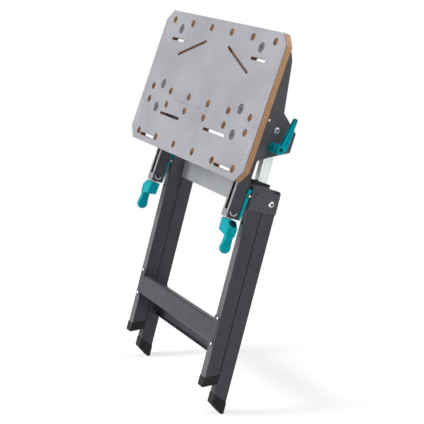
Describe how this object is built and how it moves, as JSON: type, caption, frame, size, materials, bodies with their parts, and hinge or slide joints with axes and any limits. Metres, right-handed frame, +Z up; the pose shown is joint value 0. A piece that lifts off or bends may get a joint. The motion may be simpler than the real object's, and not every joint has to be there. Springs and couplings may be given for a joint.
{
  "type": "folding workbench",
  "caption": "Folding workbench shown folded: a two-part clamping top with dog holes on tilting rails, hand cranks, telescopic front legs, swing-out rear legs and rubber feet.",
  "frame": {"origin": "middle of the bounding box at its lowest point, which is the heels of the folded rear feet", "axes": "+Z up with the front legs leaning back 18 degrees as in use; the face of the top looks along -Y and up; +X is to the right of a person standing in front of the face"},
  "size_m": [0.685, 0.2868, 0.974],
  "materials": {
    "board": "satin laminate face over a bare wood-fibre edge",
    "steel": "satin powder coat",
    "panel": "satin powder coat",
    "tube": "galvanised",
    "bolt": "zinc plated",
    "teal": "fine grain",
    "black": "fine grain",
    "cover": "fine grain",
    "foot": "matte"
  },
  "bodies": {
    "base": {"front_leg_left": "steel", "front_leg_right": "steel", "leg_head_left": "steel", "leg_head_right": "steel", "guide_cap_left": "black", "guide_cap_right": "black", "head_plug_left": "black", "head_plug_right": "black", "cross_panel": "panel", "panel_rivets": "bolt", "front_brace": "steel", "front_brace_rivets": "bolt", "front_foot_left": "foot", "front_foot_right": "foot", "latch_pins": "bolt", "hinge_bolts": "bolt"},
    "rear_frame": {"rear_leg_left": "steel", "rear_leg_right": "steel", "rear_bush_left": "black", "rear_bush_right": "black", "rear_brace": "steel", "rear_brace_rivets": "bolt", "rear_foot_left": "foot", "rear_foot_right": "foot"},
    "mast": {"extension_tube_left": "tube", "extension_tube_right": "tube", "tube_shoe_left": "black", "tube_shoe_right": "black", "pivot_bolts": "bolt", "clamp_bolts": "bolt"},
    "table": {"fixed_jaw": "board", "fixed_covers": "cover", "fixed_screws": "bolt", "rail_nuts": "bolt", "spacer_upper_left": "black", "spacer_upper_right": "black", "spacer_lower_left": "black", "spacer_lower_right": "black", "clamp_rail_left": "steel", "clamp_rail_right": "steel", "rail_end_left": "black", "rail_end_right": "black", "tilt_ear_left": "steel", "tilt_ear_right": "steel", "ear_rivets": "bolt"},
    "sliding_jaw": {"movable_jaw": "board", "movable_covers": "cover", "movable_screws": "bolt", "jaw_carriage_left": "black", "jaw_carriage_right": "black"},
    "screw_drive_left": {"spindle_left": "bolt", "crank_left": "teal"},
    "tilt_clamp_left": {"tilt_lever_left": "teal"},
    "height_latch_left": {"latch_lever_left": "teal"},
    "screw_drive_right": {"spindle_right": "bolt", "crank_right": "teal"},
    "tilt_clamp_right": {"tilt_lever_right": "teal"},
    "height_latch_right": {"latch_lever_right": "teal"}
  },
  "joints": [
    {"name": "fold_rear_legs", "type": "hinge", "parent": "base", "child": "rear_frame", "pos_m": [0, 0.06685, 0.5354], "axis": [1, 0, 0], "range_deg": [0, 52.97]},
    {"name": "raise_top", "type": "slide", "parent": "base", "child": "mast", "axis": [0, 0.309, 0.9511], "range_m": [0, 0.192]},
    {"name": "tilt_top", "type": "hinge", "parent": "mast", "child": "table", "pos_m": [0, 0.0886, 0.72286], "axis": [1, 0, 0], "range_deg": [-67, 0]},
    {"name": "turn_spindle_left", "type": "hinge", "parent": "table", "child": "screw_drive_left", "pos_m": [-0.23, -0.04268, 0.51437], "axis": [0, -0.3907, -0.9205], "range_deg": [0, 7919]},
    {"name": "turn_spindle_right", "type": "hinge", "parent": "table", "child": "screw_drive_right", "pos_m": [0.23, -0.04268, 0.51437], "axis": [0, -0.3907, -0.9205], "range_deg": [0, 7919]},
    {"name": "slide_jaw", "type": "slide", "parent": "table", "child": "sliding_jaw", "axis": [0, -0.3907, -0.9205], "range_m": [0, 0.11]},
    {"name": "swing_tilt_lever_left", "type": "hinge", "parent": "mast", "child": "tilt_clamp_left", "pos_m": [-0.262, 0.07531, 0.68196], "axis": [1, 0, 0], "range_deg": [-90, 0]},
    {"name": "press_latch_left", "type": "hinge", "parent": "base", "child": "height_latch_left", "pos_m": [-0.236, 0.00836, 0.56492], "axis": [1, 0, 0], "range_deg": [0, 9.5], "stiffness_Nm_per_rad": 0.5, "springref_deg": -5.73},
    {"name": "swing_tilt_lever_right", "type": "hinge", "parent": "mast", "child": "tilt_clamp_right", "pos_m": [0.262, 0.07531, 0.68196], "axis": [1, 0, 0], "range_deg": [-90, 0]},
    {"name": "press_latch_right", "type": "hinge", "parent": "base", "child": "height_latch_right", "pos_m": [0.236, 0.00836, 0.56492], "axis": [1, 0, 0], "range_deg": [0, 9.5], "stiffness_Nm_per_rad": 0.5, "springref_deg": -5.73}
  ],
  "couplings": [
    {"joint": "turn_spindle_right", "follows": "turn_spindle_left", "ratio": 1},
    {"joint": "slide_jaw", "follows": "turn_spindle_left", "m_per_rad": 0.00079577}
  ]
}
